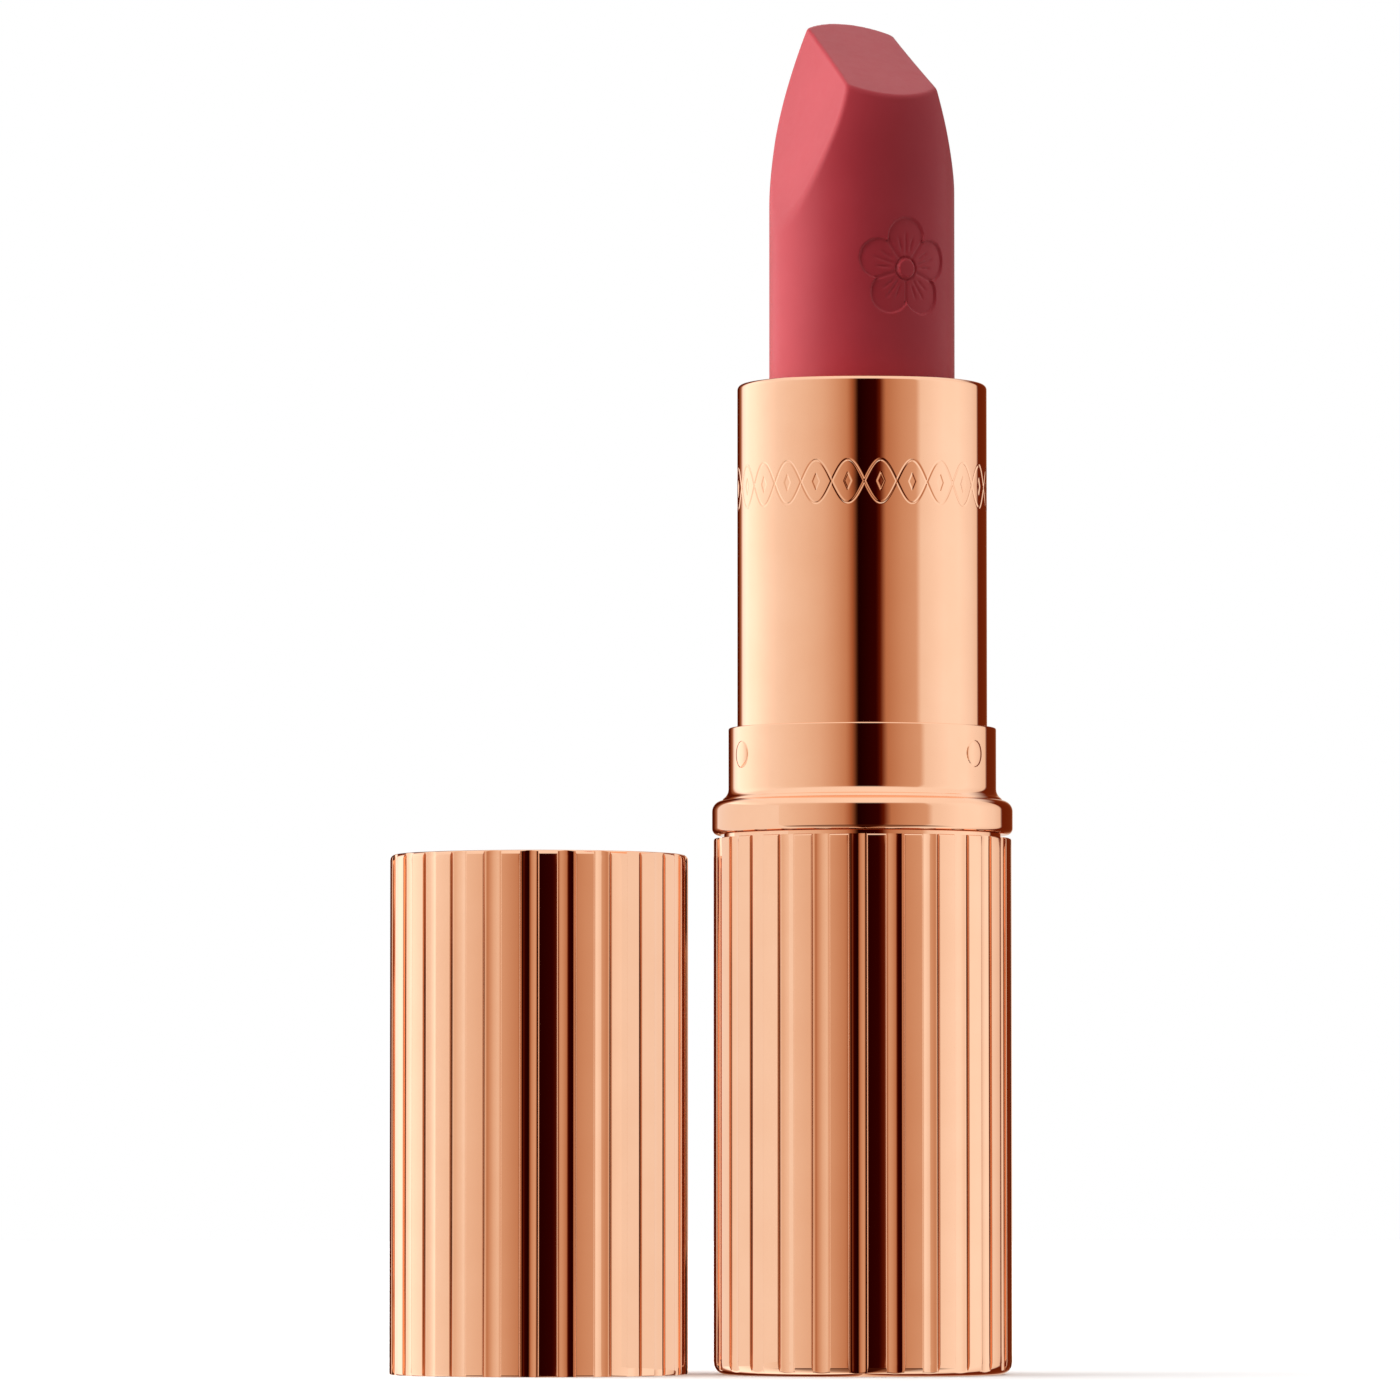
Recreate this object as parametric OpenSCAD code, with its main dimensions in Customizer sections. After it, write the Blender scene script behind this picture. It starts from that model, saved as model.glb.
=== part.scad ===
// Lipstick in a ribbed metal case, open with the bullet raised, and its cap standing beside it.
// Millimetres, +Z up. The origin is on the case's axis, at the middle of the base's underside.
// Turning the sleeve in the collar drives two lugs along a helical cam and lifts the bullet.

/* [Case] */
// Outer diameter over the ribs of the base and of the cap
case_d = 20.36; // [20.3:0.02:20.5]
// Height of the ribbed part of the base
base_h = 36.5; // [35:0.1:38]
// Height of the cap
cap_h = 35.4; // [35:0.1:38]
// Distance from the case's axis to the axis of the cap that stands beside it
cap_offset = 22.1; // [21:0.1:40]
// Number of ribs round the base and round the cap
rib_count = 25; // [20:1:30]
// Depth of the grooves between the ribs
groove_depth = 0.2; // [0.1:0.01:0.3]
// Width of each groove at the surface
groove_w = 1.28; // [1:0.02:1.5]
// Rounding of the base's lower edge
base_edge_r = 0.85; // [0.5:0.05:1]
// Rounding of the cap's top edge
cap_edge_r = 0.4; // [0.2:0.05:0.6]

/* [Collar] */
// Diameter of the collar that the cap slides over
collar_d = 18.3; // [18.2:0.01:18.36]
// Height of the collar above its bead
collar_h = 4.95; // [4.5:0.05:5.1]
// Diameter of the bead that the cap stops on
bead_d = 20.54; // [20.4:0.02:20.7]
// Height of the bead
bead_h = 2.35; // [2:0.05:3]
// Shadow gap between the ribs of the base and the bead
bead_gap = 0.25; // [0.15:0.05:0.5]
// Number of snap bumps round the collar
bump_count = 3; // [2:1:6]
// Diameter of a snap bump
bump_d = 1.8; // [1.2:0.1:2]
// Height of a snap bump
bump_h = 0.15; // [0.05:0.01:0.18]

/* [Sleeve] */
// Diameter of the sleeve
sleeve_d = 17.08; // [17.04:0.01:17.1]
// Height of the sleeve above the bead
sleeve_h = 28.5; // [27:0.1:28.6]
// Number of engraved lozenges round the sleeve
lozenge_count = 24; // [12:1:30]
// Height of an engraved lozenge
lozenge_h = 1.3; // [1:0.1:3]

/* [Bullet] */
// Diameter of the bullet
bullet_d = 12.7; // [12.6:0.02:12.72]
// Length of bullet that stands out of the raised case
bullet_show = 25.4; // [22:0.1:25.8]
// Slope of the flat at the bullet's tip, in degrees
tip_slope = 32; // [25:0.5:45]

/* [Mechanism] */
// Lift of the bullet from stored to raised
travel = 26; // [24:0.5:26]
// Turns of the sleeve that lift the bullet all the way
cam_turns = 1.5; // [1:0.25:2]
// Diameter of the two lugs that drive the cup
lug_d = 1.6; // [1.2:0.1:1.8]
// Radial clearance between parts that turn or slide in each other
running_gap = 0.05; // [0.03:0.01:0.08]

/* [Hidden] */

$fn = 96;
eps = 0.01;

// Colours
rose_gold = [0.90, 0.64, 0.50];
inner_plastic = [0.93, 0.91, 0.87];
pale_plastic = [0.80, 0.78, 0.74];
steel = [0.62, 0.63, 0.65];
paper = [0.96, 0.95, 0.93];
rubber = [0.15, 0.15, 0.16];
lipstick = [0.66, 0.30, 0.32];

// Radii from the driving diameters
case_r = case_d / 2;
shell_bore_r = case_r - groove_depth - 0.53;
collar_r = collar_d / 2;
bead_r = bead_d / 2;
sleeve_r = sleeve_d / 2;
bullet_r = bullet_d / 2;

// Ribs: spacing, azimuth of the first groove, width of a groove's floor
rib_step = 360 / rib_count;
groove_azimuth = -92.75;
groove_floor_w = groove_w - 0.04;

// Base: the weight's pocket, the insert's deck and the socket above it
base_floor = 0.8;
label_recess = 0.3;
label_t = 0.12;
label_r = 7.8;
weight_r = 8.15;
deck_z = 13;
deck_t = 1.2;
socket_top = 20;
insert_wall = 0.5;

// Mechanism, from the bullet outwards
cup_wall = 0.5;
cup_r = bullet_r + cup_wall;
guide_bore_r = cup_r + running_gap;
guide_wall = 0.6;
guide_r = guide_bore_r + guide_wall;
cam_bore_r = guide_r + running_gap;
sleeve_wall = 0.37;
cam_r = sleeve_r - sleeve_wall;
groove_bottom_r = cam_r - 0.17;
lug_tip_r = groove_bottom_r - 0.15;

// Heights up the mechanism
guide_flange_t = 1.4;
guide_flange_r = 8.6;
cam_foot_z = socket_top + guide_flange_t + 0.1;
cam_foot_t = 2;
insert_top = cam_foot_z + cam_foot_t + 0.1;
cam_foot_r = shell_bore_r - insert_wall - 0.07;
bead_z = base_h + bead_gap;
bead_top = bead_z + bead_h;
collar_top = bead_top + collar_h;
sleeve_top = bead_top + sleeve_h;
lip_t = 0.45;
lip_r = bullet_r + 0.35;
cam_top = sleeve_top - lip_t;
guide_top = cam_top - 0.25;
lozenge_z = sleeve_top - 7.2;
lozenge_depth = 0.05;

// Brake ring in the cam's foot
brake_r = 0.33;
brake_z = cam_foot_z + cam_foot_t / 2;

// Collar: skirt pressed into the base, bush inside it, height of the snap bumps
skirt_bore_r = sleeve_r + 0.46;
collar_bore_r = sleeve_r + 0.12;
bush_top = bead_z + 1.3;
bump_z = bead_top + 3;
bump_azimuth = -154.7;

// Cup and cam at rest: lugs near the top of the cam
cup_top = sleeve_top - 0.8;
lug_z = cup_top - 11.2;
cup_bottom = lug_z - 1.4;
cup_floor_z = lug_z - 0.6;
cup_floor_t = 1.2;
bullet_z = cup_floor_z + cup_floor_t;
tip_z = sleeve_top + bullet_show;
slot_w = lug_d + 0.2;
cam_degrees_per_mm = 360 * cam_turns / travel;
cam_run_out = lug_d / 2 + 0.25;
cam_length = travel + 2 * cam_run_out;
cam_step = 10;

// Bullet tip: where its taper starts, the two flats that narrow it, and the slanted facet.
// Azimuths are 0 towards -Y and positive towards +X.
taper_z = tip_z - 8.7;
taper_rate = 0.0354;
taper_steps = 12;
flat_z = tip_z - 9;
flat_curve = 0.01;
left_flat_azimuth = -63.2;
left_flat_distance = 4.61;
left_flat_slope = 0.312;
right_flat_azimuth = 106;
right_flat_distance = 5.19;
right_flat_slope = 0.336;
facet_azimuth = 22.9;
facet_z = tip_z - 2.3;

// Cap: mouth bore over the collar, bore over the sleeve, snap groove, weight and top plate
mouth_bore_r = collar_r + 0.07;
mouth_recess = 0.9;
mouth_top = collar_h + 0.35;
snap_groove_r = collar_r + bump_h + 0.06;
snap_z = bump_z - bead_top;
snap_half = bump_d / 2 + 0.1;
liner_bore_r = sleeve_r + 0.21;
liner_bore_top = sleeve_h + 1.5;
liner_top_t = 0.8;
cap_roof_t = 0.6;
cap_weight_r = 8.6;
cap_weight_t = 3;
plate_r = 7.6;
plate_t = 0.3;

// Points of an arc about [cx, cy] from angle a0 to a1
function arc(cx, cy, r, a0, a1, steps = 6) =
    [for (i = [0 : steps]) let (a = a0 + (a1 - a0) * i / steps) [cx + r * cos(a), cy + r * sin(a)]];

// A tube of given radii between two heights
module tube(r_out, r_in, z0, z1) {
    difference() {
        translate([0, 0, z0]) cylinder(r = r_out, h = z1 - z0);
        translate([0, 0, z0 - eps]) cylinder(r = r_in, h = z1 - z0 + 2 * eps);
    }
}

// A disc of given radius between two heights
module disc(r, z0, z1) {
    translate([0, 0, z0]) cylinder(r = r, h = z1 - z0);
}

// Outline of the ribbed shells: a circle with evenly spaced grooves
module rib_outline() {
    difference() {
        circle(r = case_r);
        for (i = [0 : rib_count - 1])
            rotate(groove_azimuth + i * rib_step)
                polygon([
                    [case_r - groove_depth, -groove_floor_w / 2],
                    [case_r + groove_depth, groove_floor_w / 2 - groove_w],
                    [case_r + groove_depth, groove_w - groove_floor_w / 2],
                    [case_r - groove_depth, groove_floor_w / 2]
                ]);
    }
}

// A ribbed cylinder whose lower and upper edges are rounded
module ribbed_body(h, low_r, high_r) {
    intersection() {
        linear_extrude(h) rib_outline();
        rotate_extrude()
            polygon(concat(
                [[0, 0]],
                arc(case_r - low_r, low_r, low_r, -90, 0),
                arc(case_r - high_r, h - high_r, high_r, 0, 90),
                [[0, h]]
            ));
    }
}

// ---- Base ----

module base_shell() {
    color(rose_gold)
    difference() {
        ribbed_body(base_h, base_edge_r, 0.1);
        disc(shell_bore_r, base_floor, base_h + 1);
        disc(label_r + 0.2, -1, label_recess);
    }
}

module base_insert() {
    color(inner_plastic)
    union() {
        tube(shell_bore_r, shell_bore_r - insert_wall, base_floor, insert_top);
        disc(shell_bore_r - insert_wall / 2, deck_z, deck_z + deck_t);
        tube(guide_r + 0.6, guide_r, deck_z + deck_t / 2, socket_top);
    }
}

module base_weight() {
    color(steel)
    difference() {
        disc(weight_r, base_floor, deck_z);
        disc(1.5, base_floor - 1, base_floor + 2);
    }
}

module shade_label() {
    color(paper) disc(label_r, label_recess - label_t, label_recess);
}

// ---- Collar ----

module collar_profile() {
    polygon(concat(
        [[skirt_bore_r, insert_top]],
        [[shell_bore_r, insert_top]],
        [[shell_bore_r, bead_z]],
        arc(bead_r - 0.45, bead_z + 0.45, 0.45, -90, 0),
        arc(bead_r - 0.75, bead_top - 0.75, 0.75, 0, 90),
        arc(collar_r + 0.8, bead_top + 0.8, 0.8, 240, 180, 4),
        [[collar_r, collar_top - 0.1], [collar_r - 0.1, collar_top]],
        [[collar_bore_r, collar_top], [collar_bore_r, bush_top], [skirt_bore_r, bush_top]]
    ));
}

module snap_bumps() {
    dome_r = (bump_d * bump_d / 4 + bump_h * bump_h) / (2 * bump_h);
    for (i = [0 : bump_count - 1])
        rotate(bump_azimuth + i * 360 / bump_count)
            translate([collar_r + bump_h - dome_r, 0, bump_z])
                sphere(r = dome_r);
}

module collar_ring() {
    color(rose_gold)
    union() {
        rotate_extrude() collar_profile();
        difference() {
            snap_bumps();
            disc(collar_r - 0.2, bump_z - bump_d * 2, bump_z + bump_d * 2);
        }
    }
}

module collar_bush() {
    color(pale_plastic) tube(skirt_bore_r, sleeve_r + running_gap, insert_top, bush_top);
}

module guide_tube() {
    color(inner_plastic)
    difference() {
        union() {
            disc(guide_r, deck_z + deck_t, guide_top);
            disc(guide_flange_r, socket_top, socket_top + guide_flange_t);
        }
        disc(guide_bore_r, deck_z, guide_top + 1);
        // two upright slots that the lugs run in
        translate([-guide_r - 1, -slot_w / 2, lug_z - travel - slot_w / 2])
            cube([2 * guide_r + 2, slot_w, travel + slot_w]);
    }
}

// ---- Sleeve and cam, which turn together ----

module sleeve_shell() {
    color(rose_gold)
    difference() {
        rotate_extrude()
            polygon(concat(
                [[cam_r, cam_foot_z + cam_foot_t]],
                [[sleeve_r, cam_foot_z + cam_foot_t]],
                arc(sleeve_r - 0.35, sleeve_top - 0.35, 0.35, 0, 90, 5),
                [[lip_r + 0.1, sleeve_top], [lip_r, sleeve_top - 0.1]],
                [[lip_r, cam_top], [cam_r, cam_top]]
            ));
        // engraved band
        for (i = [0 : lozenge_count - 1])
            rotate(i * 360 / lozenge_count)
                translate([sleeve_r, 0, lozenge_z])
                    scale([1, 0.45, 1])
                        rotate([45, 0, 0])
                            cube([2 * lozenge_depth, lozenge_h / sqrt(2), lozenge_h / sqrt(2)], center = true);
    }
}

// Section of one cam groove: a sector of the wall, wide enough for a lug at the helix's slope
module groove_sector() {
    mid_r = (cam_bore_r + groove_bottom_r) / 2;
    slope = atan(travel / cam_turns / (2 * PI * mid_r));
    half_angle = (lug_d / 2 + 0.15) / sin(slope) / mid_r * 180 / PI;
    polygon(concat(
        [[(cam_bore_r - 0.4) * cos(half_angle), (cam_bore_r - 0.4) * sin(half_angle)]],
        [[(cam_bore_r - 0.4), 0]],
        [[(cam_bore_r - 0.4) * cos(half_angle), -(cam_bore_r - 0.4) * sin(half_angle)]],
        arc(0, 0, groove_bottom_r, -half_angle, half_angle, 6)
    ));
}

module cam_grooves() {
    twist = cam_length * cam_degrees_per_mm;
    for (start = [0, 180])
        rotate(start + (travel + cam_run_out) * cam_degrees_per_mm)
            translate([0, 0, lug_z - travel - cam_run_out])
                linear_extrude(height = cam_length, twist = twist, slices = ceil(twist / cam_step), $fn = 10)
                    groove_sector();
}

module cam_tube() {
    color(pale_plastic)
    difference() {
        union() {
            disc(cam_r, cam_foot_z, cam_top);
            disc(cam_foot_r, cam_foot_z, cam_foot_z + cam_foot_t);
        }
        disc(cam_bore_r, cam_foot_z - 1, cam_top + 1);
        // groove that holds the brake ring
        tube(cam_foot_r + 1, cam_foot_r - 2 * brake_r, brake_z - brake_r, brake_z + brake_r);
        cam_grooves();
    }
}

module brake_ring() {
    color(rubber)
    translate([0, 0, brake_z])
        rotate_extrude()
            translate([cam_foot_r - brake_r, 0]) circle(r = brake_r, $fn = 32);
}

// ---- Cup and bullet, which rise together ----

module bullet_cup() {
    color(inner_plastic)
    difference() {
        union() {
            disc(cup_r, cup_bottom, cup_top);
            translate([-lug_tip_r, 0, lug_z]) rotate([0, 90, 0]) cylinder(d = lug_d, h = 2 * lug_tip_r);
        }
        disc(bullet_r, bullet_z, cup_top + 1);
        disc(cup_r - 1.2, cup_bottom - 1, cup_floor_z);
    }
}

// Radius of the round bullet at a height: full, then falling away as a parabola towards the tip
function blank_radius(z) = bullet_r - taper_rate * pow(max(z - taper_z, 0), 2);

module bullet_blank() {
    rotate_extrude()
        polygon(concat(
            [[0, bullet_z], [bullet_r, bullet_z]],
            [for (i = [0 : taper_steps]) let (z = taper_z + i * (tip_z - taper_z) / taper_steps)
                [blank_radius(z), z]],
            [[0, tip_z]]
        ));
}

// What a cutter takes away outside an outline of [distance from the axis, height], facing an azimuth
module side_cut(azimuth, outline) {
    rotate(azimuth - 90)
        rotate([90, 0, 0])
            linear_extrude(4 * bullet_r, center = true)
                polygon(outline);
}

// Outline of a flat on the side of the tip, from its distance and slope at the reference height
function flat_outline(distance, slope) = concat(
    [for (dz = [-7 : 1 : 0]) [distance - slope * dz, flat_z + dz]],
    [for (dz = [2 : 2 : 10]) [distance - slope * dz + flat_curve * dz * dz, flat_z + dz]],
    [[2 * bullet_r, flat_z + 10], [2 * bullet_r, flat_z - 7]]
);

module bullet() {
    reach = 2 * bullet_r;
    rise = reach * tan(tip_slope);
    color(lipstick)
    difference() {
        bullet_blank();
        side_cut(left_flat_azimuth, flat_outline(left_flat_distance, left_flat_slope));
        side_cut(right_flat_azimuth, flat_outline(right_flat_distance, right_flat_slope));
        side_cut(facet_azimuth, [
            [-reach, facet_z + rise], [reach, facet_z - rise],
            [reach, tip_z + reach], [-reach, tip_z + reach]
        ]);
    }
}

// ---- Cap, standing mouth down beside the case ----

module cap_shell() {
    color(rose_gold)
    translate([-cap_offset, 0, 0])
    difference() {
        ribbed_body(cap_h, 0.1, cap_edge_r);
        disc(shell_bore_r + 0.13, -1, cap_h - cap_roof_t);
        disc(plate_r, cap_h - plate_t, cap_h + 1);
    }
}

module cap_liner() {
    liner_r = shell_bore_r + 0.13;
    color(inner_plastic)
    translate([-cap_offset, 0, 0])
    difference() {
        disc(liner_r, mouth_recess, cap_h - cap_roof_t);
        disc(mouth_bore_r, mouth_recess - 1, mouth_top);
        disc(liner_bore_r, mouth_recess, liner_bore_top);
        // groove that the collar's bumps snap into
        disc(snap_groove_r, snap_z - snap_half, snap_z + snap_half);
        // pocket for the weight
        disc(cap_weight_r, liner_bore_top + liner_top_t, cap_h);
    }
}

module cap_weight() {
    weight_z = liner_bore_top + liner_top_t;
    color(steel)
    translate([-cap_offset, 0, 0]) disc(cap_weight_r, weight_z, weight_z + cap_weight_t);
}

module cap_top_plate() {
    color(rose_gold)
    translate([-cap_offset, 0, 0]) disc(plate_r, cap_h - plate_t, cap_h);
}

base_shell();
base_insert();
base_weight();
shade_label();
collar_ring();
collar_bush();
guide_tube();
sleeve_shell();
cam_tube();
brake_ring();
bullet_cup();
bullet();
cap_shell();
cap_liner();
cap_weight();
cap_top_plate();
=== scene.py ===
"""Looks for a lipstick in a ribbed rose-gold case: the open case with its bullet raised, and its cap
standing beside it.

Lengths in the shape code are millimetres in the row frame; meshes are scaled to metres as they are made.
"""

import math

import bpy
import numpy as np
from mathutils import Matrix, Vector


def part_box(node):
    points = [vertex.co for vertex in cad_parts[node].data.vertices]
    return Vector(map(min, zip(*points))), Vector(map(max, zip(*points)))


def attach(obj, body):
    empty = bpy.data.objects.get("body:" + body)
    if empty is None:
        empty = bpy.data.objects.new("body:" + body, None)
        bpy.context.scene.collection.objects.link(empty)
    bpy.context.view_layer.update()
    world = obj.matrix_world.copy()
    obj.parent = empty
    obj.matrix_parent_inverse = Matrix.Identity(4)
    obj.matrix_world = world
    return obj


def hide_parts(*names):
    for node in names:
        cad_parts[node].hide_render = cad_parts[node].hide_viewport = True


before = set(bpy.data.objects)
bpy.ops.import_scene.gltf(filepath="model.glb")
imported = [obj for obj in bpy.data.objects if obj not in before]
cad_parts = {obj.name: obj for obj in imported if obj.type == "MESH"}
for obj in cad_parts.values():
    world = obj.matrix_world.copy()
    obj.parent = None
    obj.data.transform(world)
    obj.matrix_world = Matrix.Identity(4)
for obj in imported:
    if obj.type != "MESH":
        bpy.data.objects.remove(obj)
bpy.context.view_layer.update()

MM = 0.001


def box_mm(node):
    """Lowest and highest corner of a CAD node in millimetres."""
    lo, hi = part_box(node)
    return np.array(lo) / MM, np.array(hi) / MM


# ---------------------------------------------------------------- dimensions

CASE_R = 10.18  # over the ribs
RIBS = 25
RIB_STEP = 360 / RIBS
FIRST_GROOVE = -92.75  # degrees, mathematical angle of one groove's middle
GROOVE_DEPTH = 0.175
GROOVE_HALF = 0.62  # half the width of a groove at its floor
GROOVE_SAG = 0.07  # how far a groove's floor is hollowed
GROOVE_HOLLOW = 0.47  # half the width of the hollowed part of the floor
GROOVE_DRAFT = 0.003  # how much wider each side of a groove is at the top
GROOVE_EDGE = 0.06  # rounding of the ribs' long edges
GROOVE_ROOT = 0.012  # rounding of the corners of a groove's floor
RUN_OUT = 0.05  # blend of the grooves into a shell's rounded edges
CENTRE_R = 3.0  # first ring round the middle of a flat face

SHELL_BORE = 9.45
BASE_TOP = box_mm("base_shell")[1][2]
BASE_EDGE = 0.85
BASE_FLOOR = 0.8
LABEL_POCKET_R = 8.0
LABEL_POCKET = 0.3

CAP_LO, CAP_HI = box_mm("cap_shell")
CAP_X = (CAP_LO[0] + CAP_HI[0]) / 2
CAP_TOP = CAP_HI[2]
CAP_EDGE = 0.4
CAP_BORE = 9.58
CAP_ROOF = 0.6
PLATE_R = 7.6
PLATE_T = 0.3

COLLAR_LO, COLLAR_HI = box_mm("collar_ring")
COLLAR_R = 9.15
BEAD_R = 10.27
BEAD_BOTTOM = BASE_TOP + 0.25
BEAD_TOP = BEAD_BOTTOM + 2.35
COLLAR_TOP = COLLAR_HI[2]
COLLAR_BORE = 8.66
SKIRT_BORE = 9.0
BUSH_TOP = BEAD_BOTTOM + 1.3
BUMP_Z = BEAD_TOP + 3.0
BUMP_R = 0.9
BUMP_H = 0.15
BUMP_FIRST = -154.7  # degrees, mathematical angle
BUMPS = 3

SLEEVE_LO, SLEEVE_HI = box_mm("sleeve_shell")
SLEEVE_R = 8.54
SLEEVE_BORE = 8.17
SLEEVE_TOP = SLEEVE_HI[2]
LIP_R = 6.70
LIP_T = 0.45
BAND_Z = SLEEVE_TOP - 7.2
BAND_WAVES = 12
BAND_SWING = 1.45
BAND_LINE = 0.085  # half width of an engraved line
BAND_DEPTH = 0.035
LOZENGE_HALF_W = 0.29
LOZENGE_HALF_H = 0.65

BULLET_BOTTOM = box_mm("bullet")[0][2]
BULLET_R = 6.35
TIP_Z = SLEEVE_TOP + 25.4
TIP_CENTRE = 83.0  # height the tip's rays start from
EDGE_SOFT = 0.22  # rounding of the bullet's edges
TAPER_START = TIP_Z - 8.7
TAPER = 0.0354  # narrowing per squared millimetre above the taper's start
FLATS_Z = TIP_Z - 9
SIDE_FLATS = ((-63.2, 4.61, 0.312), (106, 5.19, 0.336))  # azimuth, distance at FLATS_Z, lean
FLAT_CURVE = 0.01  # how the flats curve back outwards above FLATS_Z
FLAT_COSINE = 0.95  # of the flats' lean, so that their field measures distance
FACET_AZIMUTH = 22.9
FACET_TILT = 32  # degrees from level
FACET_Z = TIP_Z - 2.3  # where the facet crosses the axis
BLOSSOM_AZIMUTH = 28  # degrees from the front, positive to the right
BLOSSOM_Z = 75.1
BLOSSOM_R = 3.55
PETAL_DEPTH = 0.15
PARTING_DEPTH = 0.07
VEIN_DEPTH = 0.06
EYE_R = 0.72  # radius of the ring round the blossom's middle
EYE_DEPTH = 0.15

CAMERA_AT = (-0.0111, -0.627, 0.0126)  # metres
CAMERA_PITCH = 93.05  # degrees, 90 is level
CAMERA_LENS = 236


# ---------------------------------------------------------------- mesh helpers


def smooth_min(a, b, k):
    """Lower of two fields, with a rounded change between them of half width k."""
    h = np.clip(k - np.abs(a - b), 0, None) / k
    return np.minimum(a, b) - h * h * k / 4


def smooth_max(a, b, k):
    return -smooth_min(-a, -b, k)


def smooth_step(lo, hi, x):
    t = np.clip((x - lo) / (hi - lo), 0, 1)
    return t * t * (3 - 2 * t)


def arc(cx, cz, r, a0, a1, steps):
    """Points (radius, height) of an arc in the half plane of a section."""
    a = np.radians(np.linspace(a0, a1, steps + 1))
    return [(cx + r * math.cos(t), cz + r * math.sin(t)) for t in a]


def mesh_object(name, verts_mm, quads, tris, material, body, nodes, sharp_deg=32):
    """A smooth-shaded mesh piece that rides on a body, stands for CAD nodes and takes the material it is
    given.
    """
    mesh = bpy.data.meshes.new(name)
    faces = [tuple(f) for f in quads.tolist()] + [tuple(f) for f in tris]
    mesh.from_pydata((verts_mm * MM).tolist(), [], faces)
    mesh.validate()
    mesh.shade_smooth()
    mesh.set_sharp_from_angle(angle=math.radians(sharp_deg))
    mesh.materials.append(material)
    obj = bpy.data.objects.new(name, mesh)
    bpy.context.scene.collection.objects.link(obj)
    weighted = obj.modifiers.new("weighted_normals", "WEIGHTED_NORMAL")
    weighted.mode = "FACE_AREA"
    weighted.keep_sharp = True
    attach(obj, body)
    if nodes:
        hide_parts(*nodes)
    return obj


def rings(name, rows, material, body, nodes, loop=False, pole_start=None, pole_end=None):
    """Mesh from rings of points: rows is (rings, columns, 3).

    A loop joins the last ring to the first, and a pole closes an end.
    """
    n, m, _ = rows.shape
    verts = rows.reshape(-1, 3)
    last = n if loop else n - 1
    i, j = np.meshgrid(np.arange(last), np.arange(m), indexing="ij")
    i2, j2 = (i + 1) % n, (j + 1) % m
    quads = np.stack([i * m + j, i * m + j2, i2 * m + j2, i2 * m + j], -1).reshape(-1, 4)
    tris = []
    for pole, ring, flip in ((pole_start, 0, True), (pole_end, n - 1, False)):
        if pole is None:
            continue
        at = len(verts)
        verts = np.vstack([verts, pole])
        for c in range(m):
            a, b = ring * m + c, ring * m + (c + 1) % m
            tris.append((at, b, a) if flip else (a, b, at))
    return mesh_object(name, verts, quads, tris, material, body, nodes)


def turned(profile, angles, centre_x=0.0):
    """Rings of a lathe shape: profile is a list of (radius, height), or of (radius per column, height)."""
    rows = np.zeros((len(profile), len(angles), 3))
    for k, (r, z) in enumerate(profile):
        rows[k, :, 0] = centre_x + r * np.cos(angles)
        rows[k, :, 1] = r * np.sin(angles)
        rows[k, :, 2] = z
    return rows


def even_angles(count):
    return np.linspace(0, 2 * math.pi, count, endpoint=False)


# ---------------------------------------------------------------- materials


def math_node(tree, operation, a, b=None):
    """Result of a math node whose inputs are numbers or sockets."""
    node = tree.nodes.new("ShaderNodeMath")
    node.operation = operation
    for socket, value in zip(node.inputs, (a, b)):
        if isinstance(value, (int, float)):
            socket.default_value = value
        elif value is not None:
            tree.links.new(value, socket)
    return node.outputs["Value"]


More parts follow.
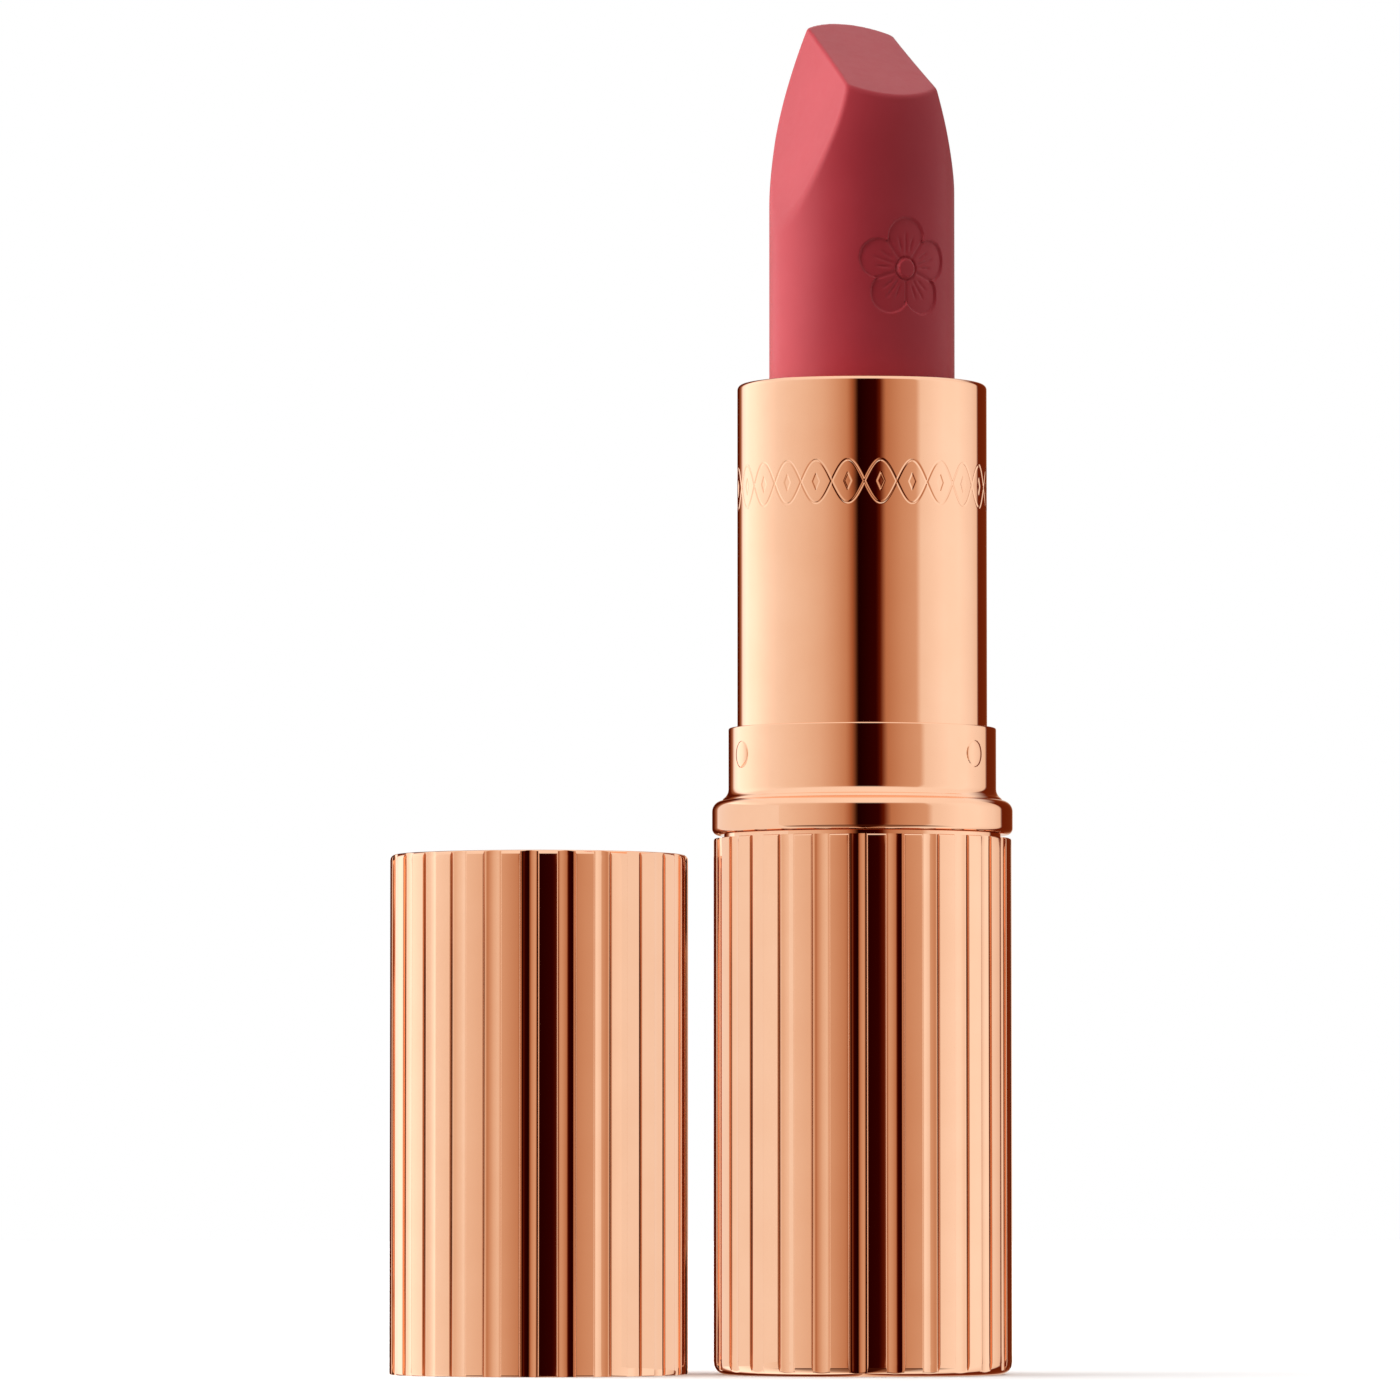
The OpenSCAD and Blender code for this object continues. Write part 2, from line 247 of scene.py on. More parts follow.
class Shader:
    """A node material built up around one Principled shader."""

    def __init__(self, name):
        self.material = bpy.data.materials.new(name)
        self.material.use_nodes = True
        self.tree = self.material.node_tree
        self.bsdf = self.tree.nodes["Principled BSDF"]
        self.coords = self.tree.nodes.new("ShaderNodeTexCoord").outputs["Object"]

    def set(self, **values):
        for key, value in values.items():
            self.bsdf.inputs[key.replace("_", " ")].default_value = value
        return self

    def link(self, a, b):
        self.tree.links.new(a, b)

    def mapped(self, scale=(1, 1, 1), offset=(0, 0, 0)):
        node = self.tree.nodes.new("ShaderNodeMapping")
        node.inputs["Location"].default_value = offset
        node.inputs["Scale"].default_value = scale
        self.link(self.coords, node.inputs["Vector"])
        return node.outputs["Vector"]

    def noise(self, scale, detail=3.0, rough=0.5, vector=None):
        node = self.tree.nodes.new("ShaderNodeTexNoise")
        node.inputs["Scale"].default_value = scale
        node.inputs["Detail"].default_value = detail
        node.inputs["Roughness"].default_value = rough
        self.link(vector or self.coords, node.inputs["Vector"])
        return node.outputs["Fac"]

    def ramp(self, fac, stops):
        node = self.tree.nodes.new("ShaderNodeValToRGB")
        set_ramp(node.color_ramp, stops)
        self.link(fac, node.inputs["Fac"])
        return node.outputs["Color"]

    def remap(self, fac, lo, hi, from_lo=0.0, from_hi=1.0):
        node = self.tree.nodes.new("ShaderNodeMapRange")
        node.inputs["From Min"].default_value = from_lo
        node.inputs["From Max"].default_value = from_hi
        node.inputs["To Min"].default_value = lo
        node.inputs["To Max"].default_value = hi
        self.link(fac, node.inputs["Value"])
        return node.outputs["Result"]

    def tone(self, fac, stops):
        """Base colour from a ramp."""
        self.link(self.ramp(fac, stops), self.bsdf.inputs["Base Color"])
        return self

    def gloss(self, fac, smooth, rough):
        """Roughness between two levels over the middle of a noise."""
        self.link(self.remap(fac, smooth, rough, 0.3, 0.7), self.bsdf.inputs["Roughness"])
        return self

    def turned_rings(self, centre_x, spacing, distance, strength):
        """Fine concentric rings from a lathe, with their spacing in metres."""
        turns = math_node(self.tree, "MULTIPLY", self.radius(centre_x), 2 * math.pi / spacing)
        return self.bump(math_node(self.tree, "SINE", turns), distance, strength)

    def bump(self, height, distance, strength=1.0):
        node = self.tree.nodes.new("ShaderNodeBump")
        node.inputs["Distance"].default_value = distance
        node.inputs["Strength"].default_value = strength
        self.link(height, node.inputs["Height"])
        previous = self.bsdf.inputs["Normal"].links
        if previous:
            self.link(previous[0].from_socket, node.inputs["Normal"])
        self.link(node.outputs["Normal"], self.bsdf.inputs["Normal"])
        return self

    def radius(self, centre_x=0.0):
        """Distance from an upright axis, in metres."""
        node = self.tree.nodes.new("ShaderNodeVectorMath")
        node.operation = "LENGTH"
        self.link(self.mapped((1, 1, 0), (-centre_x, 0, 0)), node.inputs[0])
        return node.outputs["Value"]


def set_ramp(ramp, stops, interpolation="LINEAR"):
    ramp.interpolation = interpolation
    while len(ramp.elements) > 1:
        ramp.elements.remove(ramp.elements[-1])
    ramp.elements[0].position = stops[0][0]
    ramp.elements[0].color = (*stops[0][1], 1)
    for position, colour in stops[1:]:
        ramp.elements.new(position).color = (*colour, 1)


def deeper(tint):
    """A plating's colour where it drifts darker and warmer."""
    return tuple(c * f for c, f in zip(tint, (0.985, 0.965, 0.95)))


def rose_gold(name, tint, roughness):
    """Polished rose-gold plating: nearly a mirror, with a faint cloudiness and hairlines from handling."""
    s = Shader(name).set(Metallic=1.0)
    cloud = s.noise(260, 4, 0.55)
    s.tone(cloud, [(0.35, deeper(tint)), (0.65, tint)])
    smear = s.noise(900, 5, 0.6, s.mapped((1, 1, 0.35)))
    s.gloss(smear, roughness * 0.7, roughness * 1.5)
    s.bump(s.noise(5200, 2, 0.4, s.mapped((1, 1, 0.08))), 0.0000006, 0.25)
    return s.material


def wax(name):
    """Satin lipstick wax: smooth, slightly translucent, with a fine grain and soft tonal drift."""
    s = Shader(name).set(Subsurface_Weight=0.10, Subsurface_Scale=0.0006, IOR=1.46, Specular_IOR_Level=0.12)
    s.set(Sheen_Weight=0.29, Sheen_Roughness=0.34, Coat_Weight=0.03, Coat_Roughness=0.2, Coat_IOR=1.5)
    s.bsdf.inputs["Subsurface Radius"].default_value = (1.0, 0.35, 0.3)
    drift = s.noise(180, 3, 0.5)
    s.tone(drift, [(0.3, (0.385, 0.031, 0.043)), (0.7, (0.415, 0.037, 0.050))])
    s.gloss(s.noise(1400, 4, 0.6), 0.34, 0.44)
    s.bump(s.noise(2600, 3, 0.55), 0.000004, 0.35)
    s.bump(s.noise(420, 2, 0.5), 0.00002, 0.25)
    return s.material


def moulded_plastic(name, low, high, roughness):
    s = Shader(name).set(IOR=1.5)
    s.tone(s.noise(300, 3), [(0.3, low), (0.7, high)])
    s.gloss(s.noise(1500, 4), roughness - 0.06, roughness + 0.08)
    s.bump(s.noise(6000, 2), 0.000004, 0.5)
    return s.material


def turned_steel(name, centre_x):
    """A turned weight: fine rings from the lathe, a grey that drifts, and a matt bloom."""
    s = Shader(name).set(Metallic=1.0)
    s.tone(s.noise(420, 4), [(0.3, (0.42, 0.42, 0.43)), (0.7, (0.56, 0.56, 0.57))])
    s.gloss(s.noise(1300, 4), 0.28, 0.42)
    s.turned_rings(centre_x, 0.00022, 0.000008, 0.6)
    return s.material


def spun_plate(name, tint, centre_x):
    """The cap's inset top: rose gold with faint rings from spinning."""
    s = Shader(name).set(Metallic=1.0)
    s.tone(s.noise(300, 3), [(0.35, deeper(tint)), (0.65, tint)])
    s.gloss(s.noise(1100, 4), 0.10, 0.17)
    s.turned_rings(centre_x, 0.00012, 0.0000012, 0.4)
    return s.material


def printed_label(name):
    """Paper label on the underside: a plain border and a disc of the shade's colour."""
    s = Shader(name).set(IOR=1.45)
    paper = (0.80, 0.77, 0.72)
    line = (0.55, 0.33, 0.24)
    shade = (0.40, 0.082, 0.094)
    reach, dot, ring_in, ring_out, edge = 0.008, 0.0030, 0.0064, 0.0067, 0.00004
    stops = [(0, shade), (dot, shade), (dot + edge, paper)]
    stops += [(ring_in, paper), (ring_in + edge, line), (ring_out, line), (ring_out + edge, paper)]
    across = s.remap(s.radius(), 0, 1, 0, reach)
    s.tone(across, [(r / reach, c) for r, c in stops])
    s.gloss(s.noise(2400, 5), 0.55, 0.75)
    s.bump(s.noise(5200, 4), 0.00001, 0.6)
    return s.material


def rubber(name):
    s = Shader(name).set(IOR=1.5)
    s.tone(s.noise(900, 4), [(0.3, (0.012, 0.012, 0.013)), (0.7, (0.03, 0.03, 0.032))])
    s.gloss(s.noise(2600, 3), 0.5, 0.7)
    s.bump(s.noise(9000, 3), 0.00001, 0.6)
    return s.material


ROSE = (0.985, 0.600, 0.400)
shell_metal = rose_gold("rose_gold_ribbed", ROSE, 0.03)
plain_metal = rose_gold("rose_gold_polished", ROSE, 0.028)
plate_metal = spun_plate("rose_gold_spun", ROSE, CAP_X * MM)
wax_material = wax("lipstick_wax")
white_plastic = moulded_plastic("inner_plastic", (0.70, 0.67, 0.62), (0.78, 0.75, 0.70), 0.38)
grey_plastic = moulded_plastic("bearing_plastic", (0.52, 0.50, 0.46), (0.60, 0.58, 0.54), 0.30)
base_steel = turned_steel("weight_steel", 0.0)
cap_steel = turned_steel("cap_weight_steel", CAP_X * MM)
label_material = printed_label("label_paper")
rubber_material = rubber("brake_rubber")


# ---------------------------------------------------------------- ribbed shells

def rib_section():
    """Half a rib period, from a groove's middle to a rib's: distance along the wall, and height."""
    foot = GROOVE_HALF - GROOVE_ROOT
    hollow = (0, 0.12, 0.24, 0.35, 0.43)
    points = [(x, -GROOVE_DEPTH - GROOVE_SAG * (1 - (x / GROOVE_HOLLOW) ** 2)) for x in hollow]
    points += [(0.49, -GROOVE_DEPTH), (0.55, -GROOVE_DEPTH)]
    points += arc(foot, GROOVE_ROOT - GROOVE_DEPTH, GROOVE_ROOT, -90, 0, 4)
    points += arc(GROOVE_HALF + GROOVE_DRAFT + GROOVE_EDGE, -GROOVE_EDGE, GROOVE_EDGE, 180, 90, 7)
    half_period = CASE_R * math.radians(RIB_STEP) / 2
    return np.array(points + [(0.80, 0), (0.96, 0), (1.12, 0), (half_period, 0)])


def rib_columns():
    """Angles of the columns round a ribbed shell, and the shell's radius at each."""
    half = rib_section()
    mirrored = half[:0:-1] * (-1, 1)
    period = np.concatenate([mirrored, half[:-1]])
    middle = np.radians(FIRST_GROOVE + RIB_STEP * np.arange(RIBS))
    angles = (middle[:, None] + period[None, :, 0] / CASE_R).ravel()
    return angles, np.tile(CASE_R + period[:, 1], RIBS)


def ribbed_wall(bottom, top, low_r, high_r, ribs, low_steps, high_steps):
    """Outer rows of a ribbed shell from its lower edge to its upper one, both rounded."""

    def run_out(r):
        """Radius per column on a rounded edge, with the blend taken back where the edge meets the wall."""
        return smooth_min(ribs, r + 0 * ribs, RUN_OUT) + RUN_OUT / 4 * (r > CASE_R - 0.001)

    low_end, high_start = bottom + low_r, top - high_r
    out = [(run_out(r), z) for r, z in arc(CASE_R - low_r, low_end, low_r, -90, 0, low_steps)]
    out += [(ribs, low_end + share * (high_start - low_end)) for share in (0.02, 0.25, 0.5, 0.75, 0.98)]
    out += [(run_out(r), z) for r, z in arc(CASE_R - high_r, high_start, high_r, 0, 90, high_steps)]
    return out


angles, ribs = rib_columns()

outside = ribbed_wall(0, BASE_TOP, BASE_EDGE, 0.12, ribs, 26, 6)
profile = (
    [(CENTRE_R, LABEL_POCKET), (LABEL_POCKET_R - 0.05, LABEL_POCKET), (LABEL_POCKET_R, LABEL_POCKET - 0.05)]
    + [(LABEL_POCKET_R, 0.06), (LABEL_POCKET_R + 0.06, 0.0)]
    + outside
    + [(SHELL_BORE + 0.05, BASE_TOP), (SHELL_BORE, BASE_TOP - 0.05)]
    + [(SHELL_BORE, BASE_FLOOR), (CENTRE_R, BASE_FLOOR)]
)
rings(
    "base_shell_ribbed", turned(profile, angles), shell_metal, "base", ["base_shell"],
    pole_start=(0, 0, LABEL_POCKET), pole_end=(0, 0, BASE_FLOOR),
)

outside = ribbed_wall(0, CAP_TOP, 0.12, CAP_EDGE, ribs, 6, 16)
profile = (
    [(CENTRE_R, CAP_TOP - CAP_ROOF), (CAP_BORE, CAP_TOP - CAP_ROOF), (CAP_BORE, 0.06), (CAP_BORE + 0.06, 0.0)]
    + outside
    + [(PLATE_R + 0.05, CAP_TOP), (PLATE_R, CAP_TOP - 0.05)]
    + [(PLATE_R, CAP_TOP - PLATE_T), (CENTRE_R, CAP_TOP - PLATE_T)]
)
rings(
    "cap_shell_ribbed", turned(profile, angles, CAP_X), shell_metal, "cap", ["cap_shell"],
    pole_start=(CAP_X, 0, CAP_TOP - CAP_ROOF), pole_end=(CAP_X, 0, CAP_TOP - PLATE_T),
)

plate_edge = PLATE_R - 0.02
profile = (
    [(CENTRE_R, CAP_TOP - PLATE_T), (plate_edge, CAP_TOP - PLATE_T)]
    + arc(plate_edge - 0.08, CAP_TOP - 0.08, 0.08, 0, 90, 5)
    + [(5.0, CAP_TOP), (2.5, CAP_TOP)]
)
rings(
    "cap_top_plate_spun", turned(profile, even_angles(360), CAP_X), plate_metal, "cap",
    ["cap_top_plate"], pole_start=(CAP_X, 0, CAP_TOP - PLATE_T), pole_end=(CAP_X, 0, CAP_TOP),
)


# ---------------------------------------------------------------- collar


def collar_rows(angles):
    """Section of the collar from its skirt up over the bead and flare, with the snap bumps raised on it."""
    section = (
        [(SKIRT_BORE, COLLAR_LO[2]), (SHELL_BORE - 0.04, COLLAR_LO[2]), (SHELL_BORE, COLLAR_LO[2] + 0.04)]
        + [(SHELL_BORE, BEAD_BOTTOM)]
        + arc(BEAD_R - 0.45, BEAD_BOTTOM + 0.45, 0.45, -90, 0, 9)
        + [(BEAD_R, z) for z in np.linspace(BEAD_BOTTOM + 0.65, BEAD_TOP - 0.95, 4)]
        + arc(BEAD_R - 0.75, BEAD_TOP - 0.75, 0.75, 0, 84, 14)
        + arc(COLLAR_R + 0.8, BEAD_TOP + 0.8, 0.8, 236, 180, 12)
    )
    plain_from = section[-1][1]
    section += [(COLLAR_R, z) for z in np.linspace(plain_from + 0.2, BUMP_Z - BUMP_R - 0.12, 4)]
    section += [(COLLAR_R, z) for z in np.linspace(BUMP_Z - BUMP_R - 0.06, BUMP_Z + BUMP_R + 0.06, 46)]
    section += [(COLLAR_R, COLLAR_TOP - 0.25)]
    section += arc(COLLAR_R - 0.1, COLLAR_TOP - 0.1, 0.1, 0, 90, 5)
    section += [(COLLAR_BORE + 0.04, COLLAR_TOP), (COLLAR_BORE, COLLAR_TOP - 0.04)]
    section += [(COLLAR_BORE, BUSH_TOP), (SKIRT_BORE, BUSH_TOP)]
    rows = []
    for r, z in section:
        if abs(r - COLLAR_R) > 1e-6:
            rows.append((r, z))
            continue
        lift = np.zeros_like(angles)
        for i in range(BUMPS):
            centre = math.radians(BUMP_FIRST + 360 / BUMPS * i)
            turn = (angles - centre + math.pi) % (2 * math.pi) - math.pi
            away = np.hypot(turn * COLLAR_R, z - BUMP_Z)
            lift += BUMP_H * np.sqrt(np.clip(1 - (away / BUMP_R) ** 2.6, 0, None))
        rows.append((r + lift, z))
    return rows


def collar_angles():
    """Columns round the collar, closer together at the snap bumps."""
    columns = [even_angles(540)]
    for i in range(BUMPS):
        columns.append(math.radians(BUMP_FIRST + 360 / BUMPS * i) + np.linspace(-1.05, 1.05, 47) / COLLAR_R)
    return np.unique(np.round(np.concatenate(columns) % (2 * math.pi), 6))


angles = collar_angles()
rings(
    "collar_ring_polished", turned(collar_rows(angles), angles), plain_metal, "base",
    ["collar_ring"], loop=True,
)


# ---------------------------------------------------------------- sleeve


def engraving(angles, z):
    """Depth of the engraved band: two crossing waves with a lozenge in each eye between them."""
    phase = BAND_WAVES * angles
    near = np.full_like(angles, 9.0)
    for side in (1, -1):
        offset = z - BAND_Z - side * BAND_SWING * np.sin(phase)
        slope = BAND_SWING * BAND_WAVES * np.cos(phase) / SLEEVE_R
        near = np.minimum(near, np.abs(offset) / np.sqrt(1 + slope**2))
    depth = BAND_DEPTH * (1 - smooth_step(0.35, 1.0, near / BAND_LINE))
    eye = phase / math.pi % 1 - 0.5
    across = eye * math.pi / BAND_WAVES * SLEEVE_R
    lozenge = np.abs(across) / LOZENGE_HALF_W + np.abs(z - BAND_Z) / LOZENGE_HALF_H
    return np.maximum(depth, BAND_DEPTH * (1 - smooth_step(0.75, 1.0, lozenge)))


def sleeve_rows(angles):
    bottom = SLEEVE_LO[2]
    rows = [(SLEEVE_BORE, bottom), (SLEEVE_R - 0.04, bottom), (SLEEVE_R, bottom + 0.04)]
    rows += [(SLEEVE_R, z) for z in np.linspace(COLLAR_TOP - 3, BAND_Z - BAND_SWING - 0.2, 4)]
    for z in np.arange(BAND_Z - BAND_SWING - 0.14, BAND_Z + BAND_SWING + 0.16, 0.04):
        rows.append((SLEEVE_R - engraving(angles, z), z))
    rows += [(SLEEVE_R, BAND_Z + BAND_SWING + 0.2), (SLEEVE_R, SLEEVE_TOP - 0.6)]
    rows += arc(SLEEVE_R - 0.35, SLEEVE_TOP - 0.35, 0.35, 0, 90, 9)
    rows += arc(LIP_R + 0.1, SLEEVE_TOP - 0.1, 0.1, 90, 180, 5)
    rows += [(LIP_R, SLEEVE_TOP - LIP_T), (SLEEVE_BORE, SLEEVE_TOP - LIP_T)]
    return rows


angles = even_angles(1200)
rings(
    "sleeve_shell_polished", turned(sleeve_rows(angles), angles), plain_metal, "sleeve",
    ["sleeve_shell"], loop=True,
)


# ---------------------------------------------------------------- bullet


def azimuth_vector(azimuth):
    """Unit vector that faces an azimuth: 0 towards -Y, positive towards +X."""
    a = math.radians(azimuth)
    return math.sin(a), -math.cos(a)


def bullet_field(x, y, z):
    """Negative inside the bullet: a round blank, two side flats and a slanted facet, with soft edges."""
    taper = np.clip(z - TAPER_START, 0, None)
    field = np.hypot(x, y) - (BULLET_R - TAPER * taper**2)
    lift = z - FLATS_Z
    curve = FLAT_CURVE * np.clip(lift, 0, None) ** 2
    for azimuth, distance, lean in SIDE_FLATS:
        ux, uy = azimuth_vector(azimuth)
        flat = (x * ux + y * uy - (distance - lean * lift + curve)) * FLAT_COSINE
        field = smooth_max(field, flat, EDGE_SOFT)
    ux, uy = azimuth_vector(FACET_AZIMUTH)
    tilt = math.radians(FACET_TILT)
    facet = (z - FACET_Z) * math.cos(tilt) + (x * ux + y * uy) * math.sin(tilt)
    return smooth_max(field, facet, EDGE_SOFT)


def cast(x0, z0, dx, dy, dz):
    """Distance from a start on the axis to the bullet's surface, along each direction."""
    near, far = np.zeros_like(dx), np.full_like(dx, 20.0)
    for _ in range(36):
        mid = (near + far) / 2
        inside = bullet_field(x0 + mid * dx, mid * dy, z0 + mid * dz) < 0
        near, far = np.where(inside, mid, near), np.where(inside, far, mid)
    return near


def blossom(s, t):
    """Depth of a pressed five-petal blossom at offsets s across and t up from its middle."""
    rho, psi = np.hypot(s, t), np.arctan2(t, s) - math.pi / 2
    lobe = np.abs(np.cos(2.5 * psi))
    outline = BLOSSOM_R * (0.66 + 0.34 * lobe**0.75)
    inside = smooth_step(0.0, 0.15, outline - rho)
    fold = (psi + math.pi / 5) % (2 * math.pi / 5) - math.pi / 5
    parting = psi % (2 * math.pi / 5) - math.pi / 5
    parting_line = 1 - smooth_step(0.05, 0.16, np.abs(parting) * rho)
    vein = 0
    for lean, start, end in ((0, 1.0, 2.5), (0.26, 1.25, 2.2), (-0.26, 1.25, 2.2)):
        along = smooth_step(start - 0.2, start + 0.2, rho) * (1 - smooth_step(end - 0.3, end + 0.2, rho))
        vein = np.maximum(vein, (1 - smooth_step(0.03, 0.13, np.abs(fold - lean) * rho)) * along)
    eye = smooth_step(0.62, 0.86, rho)
    folds = PARTING_DEPTH * parting_line * smooth_step(0.7, 1.0, rho) + VEIN_DEPTH * vein
    ring = EYE_DEPTH * (1 - smooth_step(0.05, 0.16, np.abs(rho - EYE_R)))
    return inside * ((PETAL_DEPTH + folds) * eye + ring)


def bullet_rows(angles):
    rows = [turned([(BULLET_R - 0.05, BULLET_BOTTOM), (BULLET_R, BULLET_BOTTOM + 0.05)], angles)]
    centre = math.radians(BLOSSOM_AZIMUTH - 90)
    across = ((angles - centre + math.pi) % (2 * math.pi) - math.pi) * BULLET_R
    low, high = BLOSSOM_Z - BLOSSOM_R - 0.3, BLOSSOM_Z + BLOSSOM_R + 0.3
    heights = np.concatenate([np.linspace(SLEEVE_TOP - 4, low - 0.2, 5), np.arange(low, high, 0.07)])
    heights = np.concatenate([heights, np.arange(heights[-1] + 0.1, TIP_CENTRE, 0.1)])
    ux, uy = np.cos(angles), np.sin(angles)
    for z in heights:
        r = cast(0, z, ux, uy, 0 * ux)
        r = r - np.where(abs(z - BLOSSOM_Z) < BLOSSOM_R + 0.3, blossom(across, z - BLOSSOM_Z), 0)
        rows.append(turned([(r, z)], angles))
    for e in np.radians(np.arange(0, 89.2, 0.55)):
        dx, dy, dz = ux * math.cos(e), uy * math.cos(e), math.sin(e) + 0 * ux
        d = cast(0, TIP_CENTRE, dx, dy, dz)
        rows.append(np.stack([d * dx, d * dy, TIP_CENTRE + d * dz], -1)[None])
    return np.concatenate(rows)


angles = even_angles(540)
top = float(cast(0, TIP_CENTRE, np.zeros(1), np.zeros(1), np.ones(1))[0])
rings(
    "bullet_wax", bullet_rows(angles), wax_material, "carrier", ["bullet"],
    pole_start=(0, 0, BULLET_BOTTOM), pole_end=(0, 0, TIP_CENTRE + top),
)


# ---------------------------------------------------------------- carried-over CAD nodes

NODE_MATERIALS = {
    "base_insert": white_plastic,
    "base_weight": base_steel,
    "shade_label": label_material,
    "collar_bush": grey_plastic,
    "guide_tube": white_plastic,
    "cam_tube": grey_plastic,
    "brake_ring": rubber_material,
    "bullet_cup": white_plastic,
    "cap_liner": white_plastic,
    "cap_weight": cap_steel,
}
for node, material in NODE_MATERIALS.items():
    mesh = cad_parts[node].data
    mesh.materials.clear()
    mesh.materials.append(material)
    mesh.shade_smooth()
    mesh.set_sharp_from_angle(angle=math.radians(30))


# ---------------------------------------------------------------- studio


def soft_level(level):
    """Colour of a softbox or flag at a level: neutral when bright, warmer as it falls off."""
    if level >= 1:
        return (level, level, level)
    return (level, level**2.0, level**2.8)


# what the metal reflects, by azimuth: 0 is the camera's side, positive to the right
REFLECTED = [
    (-180, 0.50), (-174, 0.20), (-169, 0.05), (-160, 0.12), (-152, 0.40), (-145, 1.20), (-136, 1.45),
    (-118, 1.34), (-102, 1.12), (-86, 0.97), (-70, 0.91), (-54, 0.86), (-38, 0.79), (-26, 0.69), (-15, 0.57),
    (-10, 0.38),
    (-5, 0.01), (12, 0.03), (16, 0.12), (21, 0.50), (36, 0.63), (50, 0.70), (55, 0.93), (80, 1.06),
    (100, 1.08), (120, 0.95), (131, 0.86), (134, 0.14), (158, 0.16), (168, 0.24), (172, 0.60), (180, 0.90),
]
# what lights the matt surfaces
DIFFUSE = [
    (-180, 0.3), (-155, 1.0), (-120, 4.8), (-95, 6.4), (-64, 5.6), (-47, 1.4), (-28, 0.16),
    (32, 0.14), (58, 0.6), (90, 0.9), (110, 0.8), (140, 0.35), (180, 0.3),
]
CEILING = (1.02, 1.0, 0.98)
FRONT_FLOOR = (0.05, 0.01, 0.004)


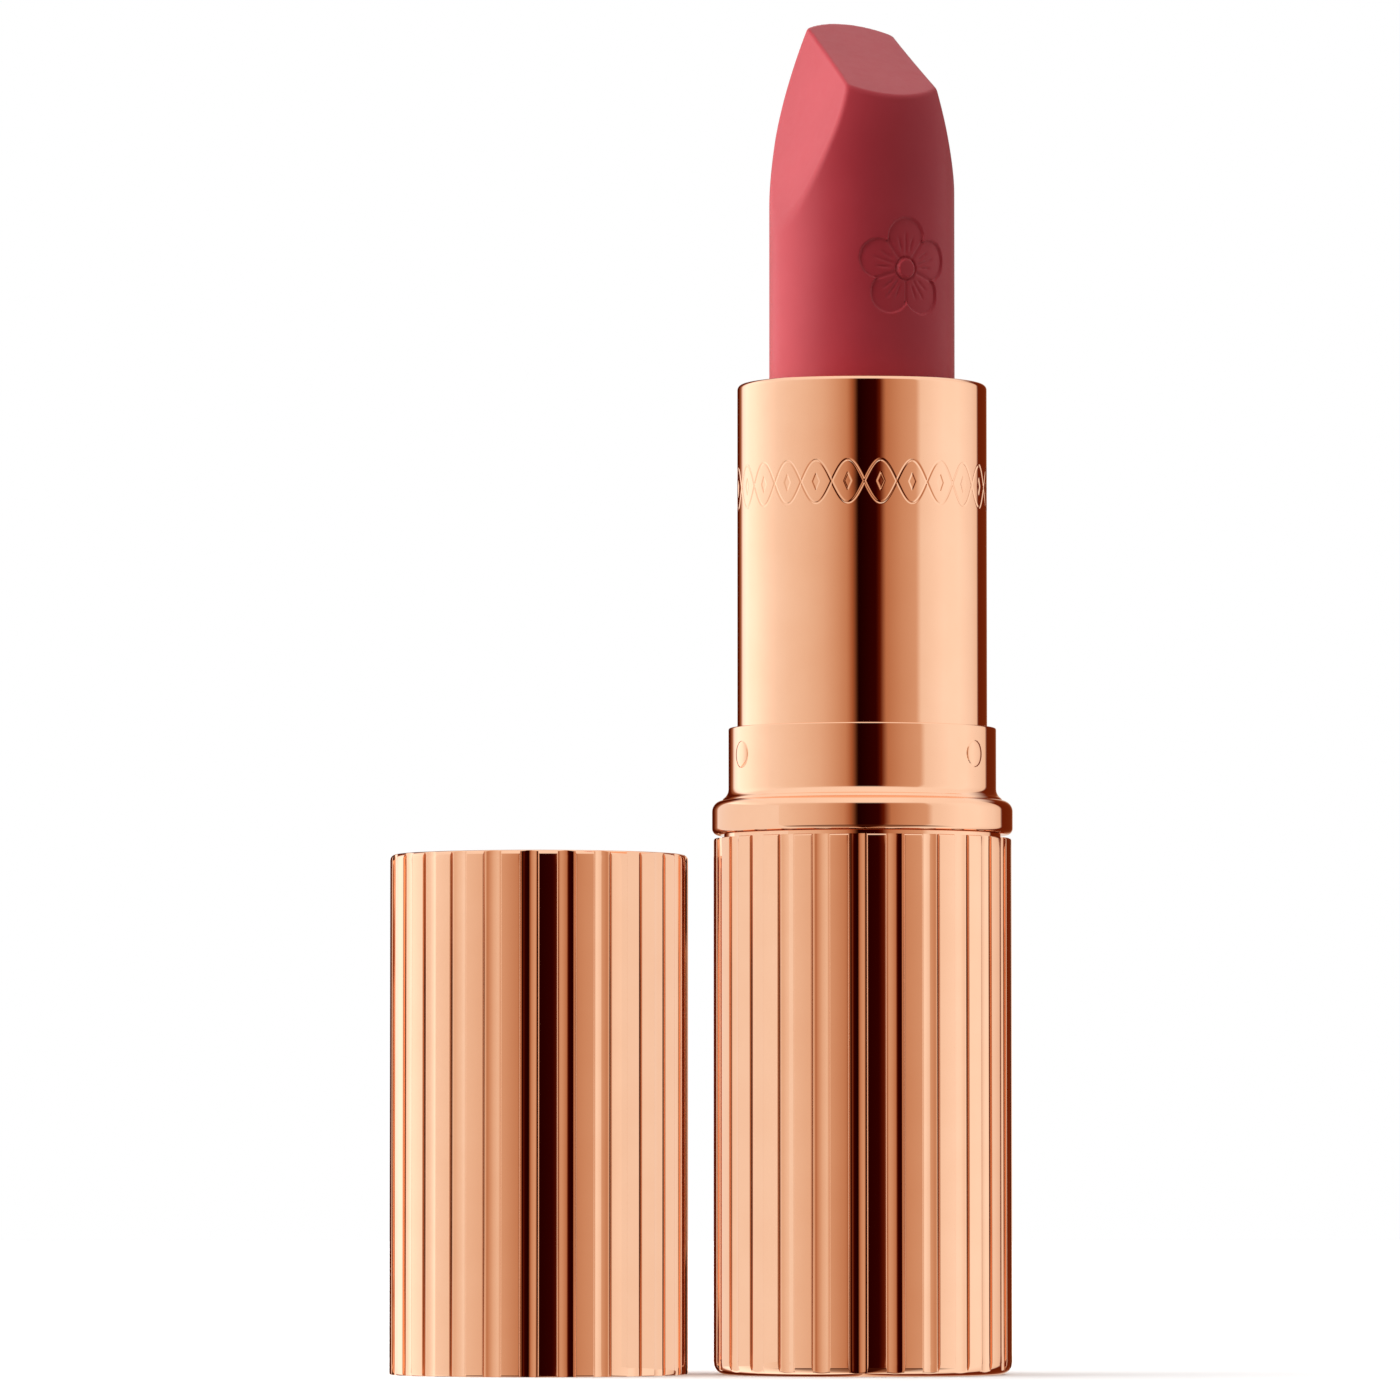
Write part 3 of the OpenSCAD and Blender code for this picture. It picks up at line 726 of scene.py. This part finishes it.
def build_world():
    world = bpy.data.worlds.new("studio")
    bpy.context.scene.world = world
    world.use_nodes = True
    tree = world.node_tree
    tree.nodes.clear()

    def new(kind, **settings):
        node = tree.nodes.new(kind)
        for key, value in settings.items():
            setattr(node, key, value)
        return node

    def calc(operation, a, b=None):
        return math_node(tree, operation, a, b)

    def spread(value, lo, hi, to_lo=0.0, to_hi=1.0):
        node = new("ShaderNodeMapRange", interpolation_type="SMOOTHSTEP")
        tree.links.new(value, node.inputs["Value"])
        for key, number in (("From Min", lo), ("From Max", hi), ("To Min", to_lo), ("To Max", to_hi)):
            node.inputs[key].default_value = number
        return node.outputs["Result"]

    def mix(factor, a, b):
        node = new("ShaderNodeMix", data_type="RGBA")
        for socket, value in ((node.inputs[0], factor), (node.inputs[6], a), (node.inputs[7], b)):
            if isinstance(value, tuple):
                socket.default_value = (*value, 1)
            else:
                tree.links.new(value, socket)
        return node.outputs[2]

    direction = new("ShaderNodeTexCoord").outputs["Generated"]
    split = new("ShaderNodeSeparateXYZ")
    tree.links.new(direction, split.inputs[0])
    x, y, z = split.outputs
    azimuth = calc("ARCTAN2", x, calc("MULTIPLY", y, -1))
    turn = calc("ADD", calc("DIVIDE", azimuth, 2 * math.pi), 0.5)

    def by_azimuth(stops, tone):
        node = new("ShaderNodeValToRGB")
        tree.links.new(turn, node.inputs["Fac"])
        set_ramp(node.color_ramp, [(a / 360 + 0.5, tone(level)) for a, level in stops])
        return node.outputs["Color"]

    # reflections: the side softboxes and the front flag, with a bright ceiling and a dim floor in front
    glossy = by_azimuth(REFLECTED, soft_level)
    glossy = mix(spread(z, 0.42, 0.66), glossy, CEILING)
    drop = calc("MULTIPLY", z, -1)
    low = calc("MULTIPLY", spread(drop, 0.42, 0.62), spread(drop, 0.64, 0.70, 1, 0.6))
    front = calc("MULTIPLY", low, spread(calc("MULTIPLY", y, -1), 0.0, 0.45))
    glossy = mix(front, glossy, FRONT_FLOOR)

    matt = by_azimuth(DIFFUSE, lambda level: (level, level, level))
    matt = mix(spread(z, 0.35, 0.85), matt, (1.00, 1.00, 1.00))

    rays = new("ShaderNodeLightPath").outputs
    colour = mix(rays["Is Glossy Ray"], matt, glossy)
    colour = mix(rays["Is Camera Ray"], colour, (1.0, 1.0, 1.0))
    background = new("ShaderNodeBackground")
    tree.links.new(colour, background.inputs["Color"])
    tree.links.new(background.outputs[0], new("ShaderNodeOutputWorld").inputs[0])


build_world()


def studio_quad(name, corners, shader):
    """A four-cornered surface of the studio, with corners in metres."""
    mesh = bpy.data.meshes.new(name)
    mesh.from_pydata(corners, [], [(0, 1, 2, 3)])
    mesh.materials.append(shader.material)
    quad = bpy.data.objects.new(name, mesh)
    bpy.context.scene.collection.objects.link(quad)
    return quad


def build_side_card():
    """A card between case and cap that only reflections see, so that neither mirror shows the other."""
    x, front, back, top = CAP_X / 2 * MM, -0.0106, -0.0012, 0.040
    s = Shader("side_card").set(Roughness=1.0, Specular_IOR_Level=0.0)
    s.set(Base_Color=(0, 0, 0, 1), Emission_Color=(0.95, 0.92, 0.90, 1), Emission_Strength=1.0)
    s.material.cycles.emission_sampling = "NONE"
    corners = [(x, front, 0), (x, back, 0), (x, back, top), (x, front, top)]
    card = studio_quad("side_card", corners, s)
    for ray in ("camera", "diffuse", "transmission", "volume_scatter", "shadow"):
        setattr(card, "visible_" + ray, False)


build_side_card()


def build_floor():
    reach, level = 1.6, -0.00002
    s = Shader("floor_white").set(Roughness=0.9, Specular_IOR_Level=0.0)
    s.set(Emission_Color=(1, 1, 1, 1), Emission_Strength=0.1)
    s.tone(s.noise(6, 2), [(0.3, (0.90, 0.90, 0.90)), (0.7, (0.92, 0.92, 0.92))])
    corners = [(-reach, -reach, level), (reach, -reach, level), (reach, reach, level), (-reach, reach, level)]
    floor = studio_quad("floor", corners, s)
    floor.visible_glossy = False
    floor.visible_diffuse = False


build_floor()


def build_camera():
    data = bpy.data.cameras.new("camera")
    data.sensor_width = 36
    data.lens = CAMERA_LENS
    data.clip_start, data.clip_end = 0.01, 20
    camera = bpy.data.objects.new("camera", data)
    camera.location = CAMERA_AT
    camera.rotation_euler = (math.radians(CAMERA_PITCH), 0, 0)
    bpy.context.scene.collection.objects.link(camera)
    bpy.context.scene.camera = camera


build_camera()

view = bpy.context.scene.view_settings
view.view_transform = "Standard"
view.look = "None"

bpy.context.view_layer.update()
